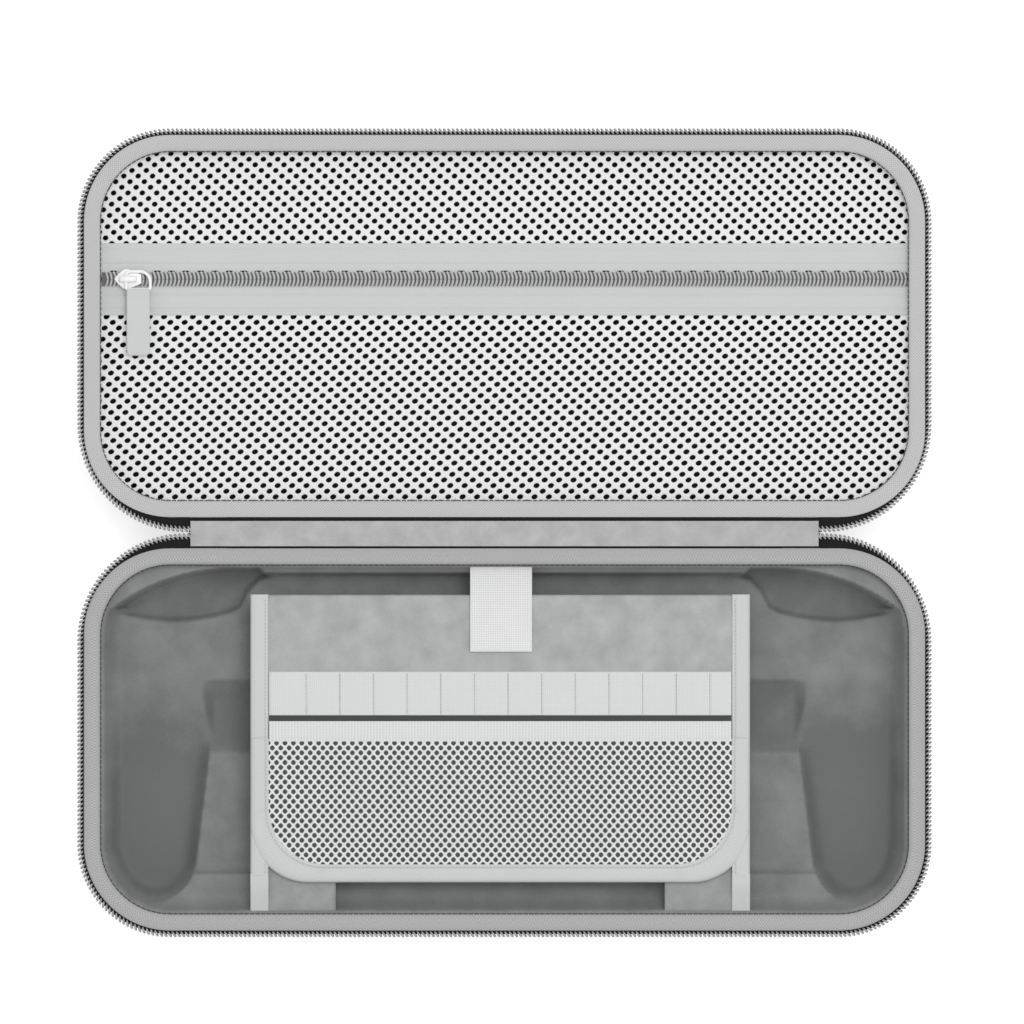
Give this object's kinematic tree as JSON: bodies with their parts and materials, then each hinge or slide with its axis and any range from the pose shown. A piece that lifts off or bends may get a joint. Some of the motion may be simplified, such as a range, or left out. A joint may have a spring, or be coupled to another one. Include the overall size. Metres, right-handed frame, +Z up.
{
  "type": "hard shell pouch",
  "caption": "Moulded zip-round case that opens flat: a formed tray with a divider flap for a handheld games console, and a mesh pocket in the lid.",
  "frame": {"origin": "on the table under the fold line between the two halves, midway along the width", "axes": "+X along the width, +Y from the base half towards the lid half, +Z up out of the open halves"},
  "size_m": [0.2968, 0.281, 0.0399],
  "materials": {
    "shell_cloth": "woven polyester laminated on moulded foam",
    "tray_velour": "short velour over moulded foam",
    "base_tape": "plain woven binding tape",
    "lid_tape": "plain woven binding tape",
    "zip_tape": "black woven zip tape",
    "zip_teeth": "moulded coil teeth",
    "spine_suede": "short suede cloth",
    "flap_suede": "short suede cloth",
    "flap_tape": "woven binding tape",
    "card_webbing": "sewn webbing",
    "elastic": "ribbed elastic",
    "pocket_net": "fine knitted net",
    "leg_cloth": "short suede cloth",
    "strap_webbing": "hook-and-loop webbing",
    "lining": "dark tricot lining",
    "lid_mesh": "knitted spacer mesh",
    "pocket_tape": "woven zip tape",
    "pocket_coil": "nylon coil",
    "slider_metal": "white enamel on zinc",
    "pull_tape": "folded woven tape"
  },
  "bodies": {
    "base": {"base_shell": "shell_cloth", "moulded_tray": "tray_velour", "base_rim_band": "base_tape", "base_zip_tape": "zip_tape", "base_zip_teeth": "zip_teeth", "spine_panel": "spine_suede", "spine_cover": "shell_cloth", "main_slider_left": "slider_metal", "main_slider_right": "slider_metal", "strap": "strap_webbing"},
    "lid": {"lid_shell": "shell_cloth", "lid_lining": "lining", "lid_rim_band": "lid_tape", "lid_zip_tape": "zip_tape", "lid_zip_teeth": "zip_teeth", "lid_mesh_rear": "lid_mesh", "lid_mesh_front": "lid_mesh", "pocket_tape_rear": "pocket_tape", "pocket_tape_front": "pocket_tape", "pocket_coil_rear": "pocket_coil", "pocket_coil_front": "pocket_coil"},
    "flap": {"flap_panel": "flap_suede", "flap_binding_left": "flap_tape", "flap_binding_right": "flap_tape", "card_strip": "card_webbing", "pocket_net": "pocket_net", "pocket_hem": "elastic", "pocket_binding": "flap_tape", "flap_hinge_left": "leg_cloth", "flap_hinge_right": "leg_cloth"},
    "pocket_slide": {"pocket_slider": "slider_metal"},
    "pocket_pull": {"pocket_ring": "slider_metal", "pocket_tab": "pull_tape"},
    "left_pull": {"main_ring_left": "slider_metal", "main_tab_left": "pull_tape"},
    "right_pull": {"main_ring_right": "slider_metal", "main_tab_right": "pull_tape"}
  },
  "joints": [
    {"name": "lid_hinge", "type": "hinge", "parent": "base", "child": "lid", "pos_m": [0, 0, 0.04], "axis": [-1, 0, 0], "range_deg": [-180, 0], "deforming": ["spine_panel", "spine_cover"]},
    {"name": "flap_hinge", "type": "hinge", "parent": "base", "child": "flap", "pos_m": [0, -0.1309, 0.0317], "axis": [1, 0, 0], "range_deg": [0, 100], "deforming": ["flap_hinge_left", "flap_hinge_right", "strap"]},
    {"name": "pocket_slider_slide", "type": "slide", "parent": "lid", "child": "pocket_slide", "axis": [1, 0, 0], "range_m": [0, 0.26]},
    {"name": "pocket_pull_hinge", "type": "hinge", "parent": "pocket_slide", "child": "pocket_pull", "pos_m": [-0.1314, 0.0881, 0.0382], "axis": [0, -1, 0], "range_deg": [0, 150]},
    {"name": "left_pull_hinge", "type": "hinge", "parent": "base", "child": "left_pull", "pos_m": [-0.10275, 0, 0.0347], "axis": [0, 1, 0], "range_deg": [-85, 85]},
    {"name": "right_pull_hinge", "type": "hinge", "parent": "base", "child": "right_pull", "pos_m": [0.10275, 0, 0.0347], "axis": [0, -1, 0], "range_deg": [-85, 85]}
  ]
}
